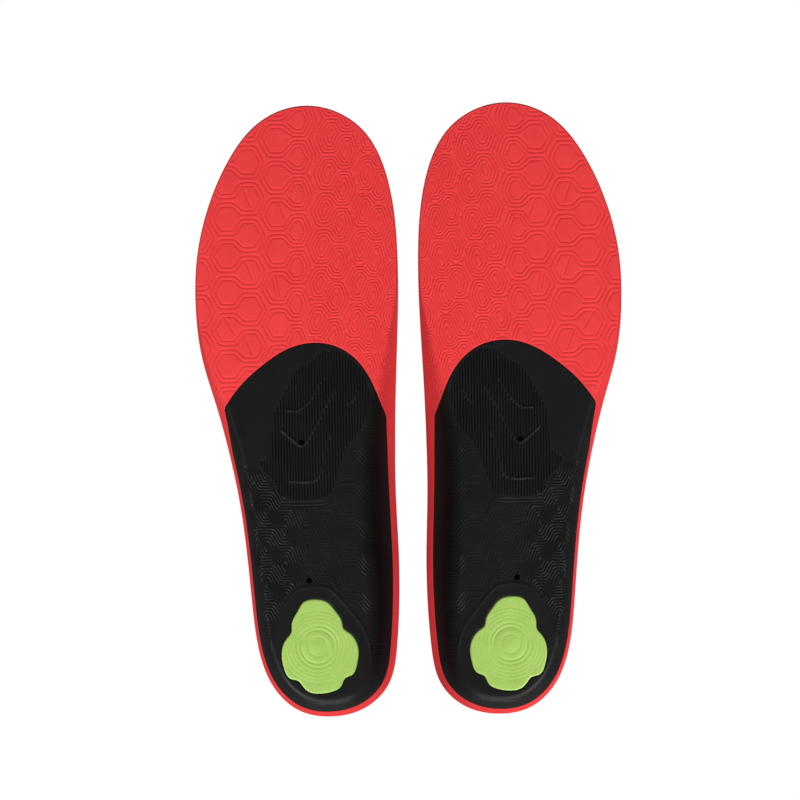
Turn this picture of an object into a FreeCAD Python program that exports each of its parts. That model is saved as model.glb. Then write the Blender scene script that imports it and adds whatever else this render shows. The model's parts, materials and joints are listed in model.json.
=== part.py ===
"""A pair of cushioned shoe insoles, modelled in millimetres.

Each insole is a stack: a moulded foam base, a thin hard shell let into its
underside from the arch to the heel, a soft pad in the heel, a cushion layer
and a fabric cover on top. The insoles lie side by side, sole down on Z = 0,
with the toes towards +Y and the right foot at +X, and the origin is midway
between them and midway along them. Every shape is drawn for the right foot
with its heel at y = 0, and the left foot is its mirror image in x = 0.
"""
import FreeCAD, Part
import os

Vector = FreeCAD.Vector

# ---- driving dimensions --------------------------------------------------

INSOLE_LENGTH = 280.0

# The thickness of the foam base at the toe and at the heel, and of the layers.
FOAM_TOE = 2.7
FOAM_HEEL = 4.3
CUSHION_THICKNESS = 1.5
COVER_THICKNESS = 0.8
SHELL_THICKNESS = 1.1

# The edge of the right insole, once round from the toe by the outer side.
# Each row: x and y of the edge, height of its rim above the sole, how far in
# from the edge the flat of the sole begins, and the shell's distance from it.
FLAT_RIM = 5.0
EDGE_ROWS = [
    (44.5, 280.0, FLAT_RIM, 0.6, 3.0),
    (66.6, 273.0, FLAT_RIM, 0.6, 3.0),
    (80.7, 256.5, FLAT_RIM, 0.6, 3.0),
    (90.8, 234.5, FLAT_RIM, 0.6, 3.0),
    (96.4, 211.0, FLAT_RIM, 0.6, 2.5),
    (97.3, 188.0, 5.4, 0.8, 2.0),
    (94.8, 165.0, 8.5, 3.0, 1.6),
    (89.0, 144.0, 12.0, 5.5, 3.6),
    (83.2, 121.0, 14.0, 6.8, 1.6),
    (78.8, 98.0, 15.0, 7.0, 1.6),
    (76.0, 75.0, 15.6, 7.0, 1.6),
    (74.0, 52.0, 16.4, 7.2, 1.6),
    (71.3, 31.0, 17.2, 7.6, 1.7),
    (64.9, 14.0, 17.8, 8.2, 2.0),
    (52.5, 2.6, 18.0, 9.0, 2.4),
    (38.0, 0.0, 18.0, 9.4, 2.6),
    (24.0, 3.2, 18.2, 10.0, 2.9),
    (12.2, 14.0, 18.6, 11.5, 3.0),
    (7.8, 32.0, 19.4, 13.0, 3.0),
    (6.4, 54.0, 20.8, 14.8, 3.0),
    (6.4, 77.0, 23.0, 16.5, 3.0),
    (7.2, 100.0, 24.8, 17.0, 3.0),
    (7.2, 123.0, 24.0, 16.0, 3.6),
    (6.6, 146.0, 19.0, 12.0, 4.5),
    (5.6, 169.0, 11.5, 6.0, 3.0),
    (4.7, 192.0, 6.2, 1.4, 3.0),
    (4.8, 215.0, FLAT_RIM, 0.6, 3.0),
    (8.4, 245.0, FLAT_RIM, 0.6, 3.0),
    (20.5, 269.5, FLAT_RIM, 0.6, 3.0),
]

# How far in from the edge each upper face meets the rim, and how much further
# in than the sole's its flat floor begins.
FOAM_RIM_INSET = 1.8
CUSHION_RIM_INSET = 2.8
COVER_RIM_INSET = 3.4
SHELL_RIM_INSET = 1.3
FOAM_FLOOR_SPREAD = 1.5
CUSHION_FLOOR_SPREAD = 2.2
COVER_FLOOR_SPREAD = 2.6
SHELL_FLOOR_SPREAD = 0.4

# Where the insole has no wall, the layers step in a little at the edge.
EDGE_STEP = 0.15

# The front edge of the hard shell, from the outer side over to the inner side.
SHELL_FRONT = [(90.0, 134.0), (85.4, 141.6), (77.5, 152.4), (66.5, 162.2), (55.0, 169.2), (43.0, 171.6),
               (30.5, 168.4), (20.0, 158.0), (13.6, 144.0), (7.0, 128.0)]
CLEAR_OF_SHELL = 130.0

# The heel pad's outline, its window in the shell, and the shell's two small dimples.
PAD_EDGE = [(50.2, 53.2), (44.6, 54.4), (39.8, 53.3), (35.2, 48.3), (32.8, 44.0), (32.2, 41.2),
            (29.4, 38.8), (25.4, 30.8), (26.2, 24.4), (28.6, 19.6), (31.6, 18.2), (33.6, 14.6),
            (38.2, 12.0), (43.0, 11.3), (48.2, 12.1), (51.2, 14.8), (53.2, 17.2), (56.6, 18.2),
            (59.8, 23.6), (60.6, 29.4), (58.2, 36.6), (56.0, 39.6), (55.8, 43.0), (52.8, 49.4)]
PAD_THICKNESS = 2.8
PAD_SETBACK = 0.2
WINDOW_GAP = 0.5
DIMPLE_CENTRES = [(50.0, 126.0), (47.4, 63.0)]
DIMPLE_DIAMETER = 2.4
DIMPLE_DEPTH = 0.8

# The line across the ball of the foot where the insole bends, as y at x = 0
# and at the width x = BEND_WIDTH.
BEND_Y_INNER = 203.4
BEND_Y_OUTER = 194.0
BEND_WIDTH = 98.0
BEND_GAP = 0.4

# How finely the curved faces are drawn.
RING_POINTS = 56
WALL_STEPS = [0.0, 0.3, 0.55, 0.78, 1.0]
WALL_POWER = 2.0

# Heights and distances that are clear of the whole insole.
BELOW_ALL = -5.0
ABOVE_ALL = 60.0
BESIDE_ALL = 400.0


# ---- curves --------------------------------------------------------------

def closed_curve(points, distances):
    """A smooth closed curve that passes each point at its distance along."""
    curve = Part.BSplineCurve()
    curve.interpolate(Points=points, PeriodicFlag=True, Parameters=distances)
    return curve


def closed_wire(points, distances):
    """The same closed curve as a wire of two edges."""
    half = distances[len(points) // 2]
    edges = []
    for start, end in ((distances[0], half), (half, distances[-1])):
        stretch = closed_curve(points, distances)
        stretch.segment(start, end)
        edges.append(stretch.toShape())
    return Part.Wire(edges)


def prism(wire, bottom, top):
    """An upright solid between two heights, with a wire drawn at z = 0 as its plan."""
    face = Part.Face(wire)
    face.translate(Vector(0, 0, bottom))
    return face.extrude(Vector(0, 0, top - bottom))


def distances_round(points):
    """The distance of each point along a closed line, and the whole way round."""
    distances = [0.0]
    for here, after in zip(points, points[1:] + points[:1]):
        distances.append(distances[-1] + (after - here).Length)
    return distances


def wall_sizes(along, distances):
    """The rim height, reach and shell margin at a distance round the edge."""
    after = next(index for index, distance in enumerate(distances) if distance > along)
    share = (along - distances[after - 1]) / (distances[after] - distances[after - 1])
    here = EDGE_ROWS[after - 1][2:]
    there = EDGE_ROWS[after % len(EDGE_ROWS)][2:]
    return [start + (end - start) * share for start, end in zip(here, there)]


def edge_stations():
    """Evenly spaced places round the edge, each with its inward direction and wall sizes."""
    plan = [Vector(x, y, 0) for x, y, rim, reach, margin in EDGE_ROWS]
    distances = distances_round(plan)
    curve = closed_curve(plan, distances)
    stations = []
    for index in range(RING_POINTS):
        along = distances[-1] * index / RING_POINTS
        tangent = curve.tangent(along)[0]
        inward = Vector(tangent.y, -tangent.x, 0)
        rim, reach, margin = wall_sizes(along, distances)
        stations.append((curve.value(along), inward, rim, reach, margin))
    return stations


STATIONS = edge_stations()


def ring(insets, levels):
    """A closed wire round the insole, from an inset and a height at each station."""
    points = []
    for station, inset, level in zip(STATIONS, insets, levels):
        spot = station[0] + station[1] * inset
        points.append(Vector(spot.x, spot.y, level))
    return closed_wire(points, [float(index) for index in range(RING_POINTS + 1)])


# ---- the faces that bound the layers -------------------------------------

def wall_share(rim):
    """0 where the insole is flat right to its edge, 1 where a full wall stands up."""
    return max(0.0, min(1.0, (rim - FLAT_RIM - 0.2) / 3.0))


def floor_level(y, toe_level, heel_level):
    """The height of a layer's flat floor, which rises evenly towards the heel."""
    return toe_level + (heel_level - toe_level) * (INSOLE_LENGTH - y) / INSOLE_LENGTH


def upper_face(toe_level, heel_level, rim_inset, spread, edge_steps):
    """Rings up the inside of the insole, from a layer's flat floor to its edge at the rim."""
    rings = []
    for step in WALL_STEPS:
        insets = []
        levels = []
        for point, inward, rim, reach, margin in STATIONS:
            wall = wall_share(rim)
            at_floor = reach + spread
            at_rim = rim_inset * wall + EDGE_STEP * edge_steps * (1 - wall)
            inset = at_floor + (at_rim - at_floor) * step
            floor = floor_level((point + inward * inset).y, toe_level, heel_level)
            insets.append(inset)
            levels.append(floor + (rim - floor) * wall * step ** WALL_POWER)
        rings.append(ring(insets, levels))
    return rings


def sole_face():
    """Rings up the outside of the insole, from the flat of the sole to the top of the foam's edge."""
    rings = []
    for step in WALL_STEPS:
        insets = []
        levels = []
        for point, inward, rim, reach, margin in STATIONS:
            floor = floor_level(point.y, FOAM_TOE, FOAM_HEEL)
            top = floor + (rim - floor) * wall_share(rim)
            insets.append(reach * (1 - step))
            levels.append(top * step ** WALL_POWER)
        rings.append(ring(insets, levels))
    return rings


def solid_between(lower_rings, upper_rings):
    """The solid inside two nested faces that meet at the rim."""
    return Part.makeLoft(lower_rings + upper_rings[::-1], True, True)


# ---- the pieces of one insole --------------------------------------------

def shell_space():
    """All the space under the foam that belongs to the hard shell, before it is trimmed to the sole."""
    margin_ring = ring([station[4] for station in STATIONS], [0.0] * RING_POINTS)
    within_edge = prism(margin_ring, BELOW_ALL, ABOVE_ALL)
    front = Part.BSplineCurve()
    front.interpolate([Vector(x, y, 0) for x, y in SHELL_FRONT])
    outer_end = Vector(SHELL_FRONT[0][0], SHELL_FRONT[0][1], 0)
    inner_end = Vector(SHELL_FRONT[-1][0], SHELL_FRONT[-1][1], 0)
    corners = [inner_end,
               Vector(-CLEAR_OF_SHELL, inner_end.y, 0),
               Vector(-CLEAR_OF_SHELL, -CLEAR_OF_SHELL, 0),
               Vector(CLEAR_OF_SHELL, -CLEAR_OF_SHELL, 0),
               Vector(CLEAR_OF_SHELL, outer_end.y, 0),
               outer_end]
    sides = [Part.makeLine(start, end) for start, end in zip(corners, corners[1:])]
    behind_front = prism(Part.Wire([front.toShape()] + sides), BELOW_ALL, ABOVE_ALL)
    core_rings = upper_face(SHELL_THICKNESS, SHELL_THICKNESS, SHELL_RIM_INSET, SHELL_FLOOR_SPREAD, 1)
    core_top = ring([SHELL_RIM_INSET] * RING_POINTS, [ABOVE_ALL * 2] * RING_POINTS)
    core = Part.makeLoft(core_rings + [core_top], True, True)
    return within_edge.common(behind_front).cut(core)


def pad_wire(outward=0.0):
    """The lobed outline of the heel pad, or the same outline a little way out."""
    points = [Vector(x, y, 0) for x, y in PAD_EDGE]
    distances = distances_round(points)
    curve = closed_curve(points, distances)
    moved = []
    for point, distance in zip(points, distances):
        tangent = curve.tangent(distance)[0]
        moved.append(point + Vector(tangent.y, -tangent.x, 0) * outward)
    return closed_wire(moved, distances)


def heel_pad():
    """The soft pad that fills the window in the heel."""
    return prism(pad_wire(), PAD_SETBACK, PAD_SETBACK + PAD_THICKNESS)


def dimples():
    """The space of the two small round dimples in the shell's underside."""
    cylinders = []
    for x, y in DIMPLE_CENTRES:
        length = DIMPLE_DEPTH - BELOW_ALL
        cylinders.append(Part.makeCylinder(DIMPLE_DIAMETER / 2, length, Vector(x, y, BELOW_ALL)))
    return Part.makeCompound(cylinders)


def bend_side(front):
    """All the space in front of the bend line, or all of it behind."""
    shift = BEND_GAP / 2 if front else -BEND_GAP / 2
    far = BESIDE_ALL if front else -BESIDE_ALL
    slope = (BEND_Y_OUTER - BEND_Y_INNER) / BEND_WIDTH
    corners = [Vector(-BESIDE_ALL, BEND_Y_INNER - slope * BESIDE_ALL + shift, 0),
               Vector(BESIDE_ALL, BEND_Y_INNER + slope * BESIDE_ALL + shift, 0),
               Vector(BESIDE_ALL, BEND_Y_INNER + far, 0),
               Vector(-BESIDE_ALL, BEND_Y_INNER + far, 0)]
    return prism(Part.makePolygon(corners + corners[:1]), BELOW_ALL, ABOVE_ALL)


def right_insole():
    """Every piece of the right insole, by name."""
    foam_top = upper_face(FOAM_TOE, FOAM_HEEL, FOAM_RIM_INSET, FOAM_FLOOR_SPREAD, 1)
    cushion_top = upper_face(FOAM_TOE + CUSHION_THICKNESS, FOAM_HEEL + CUSHION_THICKNESS,
                             CUSHION_RIM_INSET, CUSHION_FLOOR_SPREAD, 2)
    cover_top = upper_face(FOAM_TOE + CUSHION_THICKNESS + COVER_THICKNESS,
                           FOAM_HEEL + CUSHION_THICKNESS + COVER_THICKNESS,
                           COVER_RIM_INSET, COVER_FLOOR_SPREAD, 3)
    moulding = solid_between(sole_face(), foam_top)
    for_shell = shell_space()
    foam = moulding.cut(for_shell)
    foam = foam.cut(prism(pad_wire(), BELOW_ALL, PAD_SETBACK + PAD_THICKNESS))
    shell = moulding.common(for_shell)
    shell = shell.cut(prism(pad_wire(WINDOW_GAP), BELOW_ALL, ABOVE_ALL)).cut(dimples())
    pieces = {"arch_shell": shell, "heel_pad": heel_pad()}
    layers = {"foam_base": foam,
              "cushion_layer": solid_between(foam_top, cushion_top),
              "top_cover": solid_between(cushion_top, cover_top)}
    for name, layer in layers.items():
        pieces[name + "_rear"] = layer.common(bend_side(front=False))
        pieces[name + "_front"] = layer.common(bend_side(front=True))
    return pieces


def single_solid(shape, name):
    """The one solid that a piece is made of."""
    solids = shape.Solids
    if len(solids) != 1 or not solids[0].isValid():
        raise ValueError("%s is not one sound solid" % name)
    return solids[0]


def main():
    os.makedirs("parts", exist_ok=True)
    for name, shape in right_insole().items():
        right = single_solid(shape, name)
        right.translate(Vector(0, -INSOLE_LENGTH / 2, 0))
        right.exportStep("parts/right_%s.step" % name)
        left = single_solid(right.mirror(Vector(0, 0, 0), Vector(1, 0, 0)), name)
        left.exportStep("parts/left_%s.step" % name)
        print("%-20s %8.1f mm3" % (name, right.Volume))


main()
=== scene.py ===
"""The looks of a pair of cushioned insoles that lie side by side, seen from underneath.

Every shape is worked out in millimetres for the right foot, with the heel at
y = 0, and is put in place in metres at the end. The left insole is the mirror
image of the right. An insole is built of five pieces: a moulded foam base, a
hard arch shell let into it, a soft heel pad, a cushion layer and a fabric cover.
"""
import json
import math
from collections import namedtuple

import bmesh
import bpy
import numpy as np
from mathutils import Matrix, Vector, kdtree
from mathutils.geometry import delaunay_2d_cdt

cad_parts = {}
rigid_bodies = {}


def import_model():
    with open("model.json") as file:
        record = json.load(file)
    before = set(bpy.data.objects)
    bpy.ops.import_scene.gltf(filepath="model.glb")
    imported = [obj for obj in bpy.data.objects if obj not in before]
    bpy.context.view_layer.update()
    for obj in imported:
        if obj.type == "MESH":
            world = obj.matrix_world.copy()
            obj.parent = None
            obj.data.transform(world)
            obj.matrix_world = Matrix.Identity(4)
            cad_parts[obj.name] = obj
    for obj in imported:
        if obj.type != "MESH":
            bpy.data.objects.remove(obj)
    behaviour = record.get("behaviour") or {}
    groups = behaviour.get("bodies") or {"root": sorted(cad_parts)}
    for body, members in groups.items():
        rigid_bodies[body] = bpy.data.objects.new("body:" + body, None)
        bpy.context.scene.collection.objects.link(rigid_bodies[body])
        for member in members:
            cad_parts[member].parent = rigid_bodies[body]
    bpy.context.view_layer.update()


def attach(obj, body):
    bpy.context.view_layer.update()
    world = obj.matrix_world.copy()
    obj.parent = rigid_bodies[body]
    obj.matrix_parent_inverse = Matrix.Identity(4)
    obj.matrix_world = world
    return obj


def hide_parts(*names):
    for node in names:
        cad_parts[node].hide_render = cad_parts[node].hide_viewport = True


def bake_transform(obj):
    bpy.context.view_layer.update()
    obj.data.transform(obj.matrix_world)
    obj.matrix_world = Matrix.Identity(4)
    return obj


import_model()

MM = 0.001
INSOLE_LENGTH = 280.0
SIDES = {"right": 1.0, "left": -1.0}

# ---- sizes, in millimetres ----

FOAM_TOE = 2.7
FOAM_HEEL = 4.3
CUSHION_THICKNESS = 1.5
COVER_THICKNESS = 0.8
SHELL_THICKNESS = 1.1
FLAT_RIM = 5.0
EDGE_STEP = 0.15
WALL_POWER = 2.0

# The edge of the insole, once round from the toe by the outer side. Each row:
# x and y of the edge, height of its rim above the sole, how far in from the
# edge the flat of the sole begins, and the shell's distance from the edge.
NO_WALL = (FLAT_RIM, 0.6, 3.0)
EDGE_ROWS = np.array([
    (44.5, 280.0, *NO_WALL),
    (66.6, 273.0, *NO_WALL),
    (80.7, 256.5, *NO_WALL),
    (90.8, 234.5, *NO_WALL),
    (96.4, 211.0, FLAT_RIM, 0.6, 2.5),
    (97.3, 188.0, 5.4, 0.8, 2.0),
    (94.8, 165.0, 8.5, 3.0, 1.6),
    (89.0, 144.0, 12.0, 5.5, 3.6),
    (83.2, 121.0, 14.0, 6.8, 1.6),
    (78.8, 98.0, 15.0, 7.0, 1.6),
    (76.0, 75.0, 15.6, 7.0, 1.6),
    (74.0, 52.0, 16.4, 7.2, 1.6),
    (71.3, 31.0, 17.2, 7.6, 1.7),
    (64.9, 14.0, 17.8, 8.2, 2.0),
    (52.5, 2.6, 18.0, 9.0, 2.4),
    (38.0, 0.0, 18.0, 9.4, 2.6),
    (24.0, 3.2, 18.2, 10.0, 2.9),
    (12.2, 14.0, 18.6, 11.5, 3.0),
    (7.8, 32.0, 19.4, 13.0, 3.0),
    (6.4, 54.0, 20.8, 14.8, 3.0),
    (6.4, 77.0, 23.0, 16.5, 3.0),
    (7.2, 100.0, 24.8, 17.0, 3.0),
    (7.2, 123.0, 24.0, 16.0, 3.6),
    (6.6, 146.0, 19.0, 12.0, 4.5),
    (5.6, 169.0, 11.5, 6.0, 3.0),
    (4.7, 192.0, 6.2, 1.4, 3.0),
    (4.8, 215.0, *NO_WALL),
    (8.4, 245.0, *NO_WALL),
    (20.5, 269.5, *NO_WALL),
])

# The top face of each layer: its height at the toe and at the heel, how far in
# from the edge it meets the rim, how much further in than the sole's its flat
# floor begins, how many small steps in from the edge it is where no wall is,
# and over what width and by how much its own edge is rounded off.
Top = namedtuple("Top", "toe heel rim_inset spread edge_steps round_width round_drop")
FOAM_TOP = Top(FOAM_TOE, FOAM_HEEL, 1.8, 1.5, 1, 1.0, 0.45)
CUSHION_TOP = Top(FOAM_TOE + CUSHION_THICKNESS, FOAM_HEEL + CUSHION_THICKNESS, 2.8, 2.2, 2, 0.5, 0.25)
COVER_TOP = Top(CUSHION_TOP.toe + COVER_THICKNESS, CUSHION_TOP.heel + COVER_THICKNESS, 3.4, 2.6, 3,
                0.7, 0.35)

# The gap between glued pieces, and how thin a layer and the foam may get.
LAYER_GAP = 0.02
LEAST_LAYER = 0.12
LEAST_FOAM = 0.15

# The shell's front edge, from the outer side to the inner.
SHELL_FRONT = [
    (90.0, 134.0), (85.4, 141.6), (77.5, 152.4), (66.5, 162.2), (55.0, 169.2), (43.0, 171.6),
    (30.5, 168.4), (20.0, 158.0), (13.6, 144.0), (7.0, 128.0),
]

# The heel pad's outline, its window in the shell, and the shell's two small dimples.
PAD_EDGE = [
    (50.2, 53.2), (44.6, 54.4), (39.8, 53.3), (35.2, 48.3), (32.8, 44.0), (32.2, 41.2), (29.4, 38.8),
    (25.4, 30.8), (26.2, 24.4), (28.6, 19.6), (31.6, 18.2), (33.6, 14.6), (38.2, 12.0), (43.0, 11.3),
    (48.2, 12.1), (51.2, 14.8), (53.2, 17.2), (56.6, 18.2), (59.8, 23.6), (60.6, 29.4), (58.2, 36.6),
    (56.0, 39.6), (55.8, 43.0), (52.8, 49.4),
]
PAD_THICKNESS = 2.8
PAD_SETBACK = 0.2
PAD_EDGE_DROP = 0.4
PAD_EDGE_WIDTH = 0.6
PAD_FLAT_EDGE = 1.2
WINDOW_GAP = 0.05
WINDOW_LIP = 0.75
WINDOW_LIP_WIDTH = 0.45
DIMPLE_CENTRES = [(50.0, 126.0), (47.4, 63.0)]
DIMPLE_DIAMETER = 2.4
DIMPLE_DEPTH = 0.8

# The pad's round grooves, by their distance from the middle of the rings.
PAD_RINGS_CENTRE = (44.0, 32.7)
PAD_RINGS = [(4.4, 0.08), (7.7, 0.16), (9.5, 0.12), (11.6, 0.05), (13.2, 0.05), (14.8, 0.05), (16.4, 0.05)]
PAD_RING_WIDTH = 0.5

# The nested hexagons pressed into the foam under the forefoot, in columns that
# run along the foot. Each row: x at COLUMN_Y, how far the column leans towards
# the inner side per millimetre, y of one of its cells, rings, ring spacing.
COLUMN_Y = 212.0
CELL_PITCH = 16.8
SLANT_SHARE = 0.34
OUTER_SLANT_SHARE = 0.36
FOREFOOT_COLUMNS = [
    (107.8, 0.0, 212.2, 1, 1.95),
    (95.5, 0.0, 204.0, 1, 1.95),
    (83.0, 0.0, 212.2, 1, 1.95),
    (72.0, 0.0, 204.5, 1, 1.95),
    (59.6, 0.0, 214.0, 1, 1.85),
    (49.8, -0.03, 206.4, 2, 1.65),
    (39.6, -0.09, 215.7, 3, 1.5),
    (31.0, -0.085, 208.5, 4, 1.4),
    (21.8, -0.09, 215.3, 4, 1.35),
    (14.3, -0.08, 209.3, 4, 1.3),
    (5.6, -0.08, 217.6, 4, 1.3),
    (-3.0, -0.08, 210.0, 4, 1.3),
]
FOAM_GROOVE_DEPTH = 0.36
FOAM_RELIEF_BACK = 139.0

# Short slanting grooves in the flat cores of some of the hexagons.
SLASHES = [
    ((74.5, 242.5), (71.5, 234.0)), ((58.5, 236.0), (56.0, 229.0)), ((47.7, 261.0), (44.8, 255.5)),
    ((74.0, 209.0), (71.0, 201.0)), ((62.0, 202.0), (60.4, 194.5)), ((60.3, 202.0), (58.7, 194.5)),
    ((84.5, 184.0), (80.5, 177.5)), ((75.0, 175.0), (72.0, 167.0)),
]
SLASH_WIDTH = 0.45

# The same kind of hexagons on the shell, finer and shallower.
SHELL_COLUMN_PITCH = 16.75
SHELL_COLUMNS = [
    (91.5, 0.0, 78.75, 5, 1.3),
    (79.0, 0.0, 70.5, 5, 1.3),
    (66.5, 0.0, 78.75, 5, 1.3),
    (57.5, 0.0, 70.5, 5, 1.3),
    (48.5, 0.0, 79.25, 5, 1.3),
    (39.5, 0.0, 70.5, 4, 1.35),
    (30.0, 0.0, 81.95, 2, 1.4),
    (15.5, 0.0, 73.0, 2, 1.4),
    (1.0, 0.0, 81.95, 2, 1.4),
    (-13.5, 0.0, 73.0, 2, 1.4),
]
SHELL_GROOVE_DEPTH = 0.28

# Where the shell's hexagons fade: across the foot at each side of the faint
# middle, and along it at their front end, outside and inside a dividing line.
OUTER_FADE = (42.0, 60.0)
INNER_FADE = (21.0, 32.0)
FAINT = 0.4
FRONT_DIVIDE = 35.0
OUTER_FRONT_FADE = (114.5, 117.5)
INNER_FRONT_FADE = (132.0, 140.0)
SHELL_SETBACK = 0.2
SHELL_EDGE = 0.35
SHELL_EDGE_WIDTH = 0.5

# The shell's ribbed areas, the level heel area, the raised lines, and its plain
# grooves: two straight ones behind the ribs and a curved one at the heel.
RIB_PITCH = 1.3
RIB_DEPTH = 0.45
CUT_DEPTH = 0.25
RIB_AREA = [
    (60.0, 100.0), (62.0, 108.0), (67.0, 113.0), (70.5, 118.0), (66.0, 119.6), (63.9, 121.5),
    (63.4, 128.0), (63.0, 139.0), (60.5, 144.0), (56.5, 151.0), (53.5, 157.0), (50.5, 161.0),
    (45.0, 163.0), (41.5, 166.5), (36.0, 169.2), (30.0, 167.5), (24.0, 162.0), (19.5, 156.0),
    (18.0, 147.0), (19.3, 138.0), (23.0, 131.0), (29.0, 125.0), (32.5, 116.0), (35.0, 107.0),
    (38.0, 100.0),
]
HEEL_RIB_AREA = [(51.0, 1.5), (51.5, 6.6), (42.0, 5.6), (32.0, 6.6), (32.5, 1.5)]
HEEL_AREA = [
    (50.5, 60.3), (39.0, 60.3), (34.6, 56.0), (28.0, 48.0), (23.0, 41.8), (19.8, 33.0), (19.2, 24.0),
    (22.5, 16.0), (26.0, 9.0), (28.0, -2.0), (58.0, -2.0), (62.0, 10.0), (65.0, 22.0), (66.0, 34.0),
    (64.0, 43.0), (60.0, 51.0), (55.0, 57.5),
]
RAISED_LINES = [
    [(19.2, 23.0), (19.8, 33.0), (23.0, 41.8), (28.0, 48.0), (34.6, 56.0), (39.0, 60.3), (50.5, 60.3),
     (55.0, 57.5), (60.0, 51.0), (64.0, 43.0), (66.0, 34.0), (65.6, 27.0)],
    [(56.0, 141.0), (50.0, 140.5), (44.0, 148.0), (41.0, 154.0)],
    [(59.0, 132.0), (54.0, 127.5), (50.0, 123.9), (45.5, 129.5), (41.0, 138.0), (37.0, 146.0),
     (34.0, 150.5)],
    [(56.0, 108.5), (46.0, 108.0), (42.0, 110.0), (40.3, 116.0), (38.5, 125.0), (36.5, 131.0)],
    [(28.0, 143.5), (25.5, 146.0), (24.0, 149.5)],
]
SHELL_GROOVES = [[(61.0, 98.7), (40.0, 98.7)], [(60.0, 97.2), (42.0, 97.2)],
                 [(31.0, 8.0), (36.0, 7.1), (42.0, 6.8), (47.0, 7.1), (52.0, 8.0)]]
LINE_WIDTH = 1.1

# The foam beside the shell: how far it is rounded back and over what width, and
# half the width of the upright step down into the shell's bed.
FOAM_LIP = 0.3
FOAM_LIP_WIDTH = 0.55
CLIFF = 0.03

# How a ring's groove fills the space from one ring to the next.
GROOVE_SHARE = 0.21
RIDGE_CROWN = 0.07

# How finely the faces are drawn.
EDGE_SPACING = 0.8
LINE_SPACING = 0.12
RELIEF_GRID = 0.95
COARSE_GRID = 5.0
FOAM_WALL_SHARES = (0.12, 0.3, 0.5, 0.75, 1.0)
SHELL_WALL_SHARES = (0.2, 0.3, 0.4, 0.5, 0.6, 0.7, 0.8, 0.9, 1.0)
TOP_SHARES = (0.03, 0.08, 0.14, 0.22, 0.3, 0.4, 0.5, 0.6, 0.7, 0.8, 0.9, 1.0)
SHARP_ANGLE = math.radians(48)
STROKE_STEP = 0.4
STROKE_SHARES = (-1.6, -1.0, -0.5, 0.0, 0.5, 1.0, 1.6)


# ---- lines in the plane ----

def distances_along(points):
    """How far along a line each of its points is."""
    return np.concatenate([[0.0], np.cumsum(np.linalg.norm(np.diff(points, axis=0), axis=1))])


def evenly(points, step, closed=False):
    """The same line with its points about a step apart."""
    points = np.asarray(points, float)
    if closed:
        points = np.vstack([points, points[:1]])
    at = distances_along(points)
    wanted = np.linspace(0.0, at[-1], max(2, round(at[-1] / step)) + 1)
    if closed:
        wanted = wanted[:-1]
    return np.column_stack([np.interp(wanted, at, points[:, axis]) for axis in (0, 1)])


def smooth_through(knots, wanted_step):
    """Places on the closed smooth curve through the knots, and how far along it they are."""
    knots = np.asarray(knots, float)
    count = len(knots)
    at = distances_along(np.vstack([knots, knots[:1]]))
    spans = np.diff(at)
    before = np.roll(spans, 1)
    slopes = (np.roll(knots, -1, axis=0) - knots) / spans[:, None]
    index = np.arange(count)
    system = np.zeros((count, count))
    system[index, index] = 2 * (spans + before)
    system[index, (index + 1) % count] = spans
    system[index, index - 1] = before
    bends = np.linalg.solve(system, 6 * (slopes - np.roll(slopes, 1, axis=0)))
    steps = round(at[-1] / wanted_step)
    wanted = at[-1] * np.arange(steps) / steps
    span = np.searchsorted(at, wanted, side="right") - 1
    after = (span + 1) % count
    width = spans[span][:, None]
    passed = (wanted - at[span])[:, None]
    left = width - passed
    places = (bends[span] * left ** 3 + bends[after] * passed ** 3) / (6 * width)
    places += (knots[span] / width - bends[span] * width / 6) * left
    places += (knots[after] / width - bends[after] * width / 6) * passed
    return places, wanted


def rounded(corners, closed=False, rounds=3):
    """A line with its corners cut off until they are round."""
    points = np.asarray(corners, float)
    for _ in range(rounds):
        after = np.roll(points, -1, axis=0) if closed else points[1:]
        here = points if closed else points[:-1]
        cut = np.stack([0.75 * here + 0.25 * after, 0.25 * here + 0.75 * after], axis=1).reshape(-1, 2)
        points = cut if closed else np.vstack([points[:1], cut, points[-1:]])
    return points


def signed_area(points):
    """Twice the area in a closed line, negative where it runs clockwise."""
    after = np.roll(points, -1, axis=0)
    return np.sum(points[:, 0] * after[:, 1] - points[:, 1] * after[:, 0])


def tree_of(points):
    """A search tree over points in the plane."""
    tree = kdtree.KDTree(len(points))
    for index, (x, y) in enumerate(points):
        tree.insert((x, y, 0.0), index)
    tree.balance()
    return tree


def tree_along(lines):
    """A search tree over close points along several open lines."""
    return tree_of(np.vstack([evenly(line, LINE_SPACING) for line in lines]))


def distance_to(tree, places):
    """How far each place is from the nearest point in a search tree."""
    return np.array([tree.find((x, y, 0.0))[2] for x, y in places])


class Outline:
    """A closed line of close points, which tells how far along and in from it any place is."""

    def __init__(self, points, along=None):
        self.points = points
        self.low, self.high = points.min(axis=0), points.max(axis=0)
        self.along = distances_along(points) if along is None else along
        ahead = np.roll(points, -1, axis=0) - np.roll(points, 1, axis=0)
        self.forward = ahead / np.linalg.norm(ahead, axis=1)[:, None]
        turned = np.column_stack([-self.forward[:, 1], self.forward[:, 0]])
        self.inward = turned * np.sign(signed_area(points))
        self.tree = tree_of(points)

    def locate(self, places):
        """How far along the line and how far in from it each place is."""
        nearest = np.array([self.tree.find((x, y, 0.0))[1] for x, y in places], int)
        offset = places - self.points[nearest]
        along = self.along[nearest] + (offset * self.forward[nearest]).sum(axis=1)
        return along, (offset * self.inward[nearest]).sum(axis=1)

    def depth(self, places):
        """How far in from the line each place is, negative outside it."""
        return self.locate(places)[1]

    def moved_in(self, inset):
        """The points of the line moved inwards."""
        return self.points + self.inward * np.reshape(inset, (-1, 1))


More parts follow.
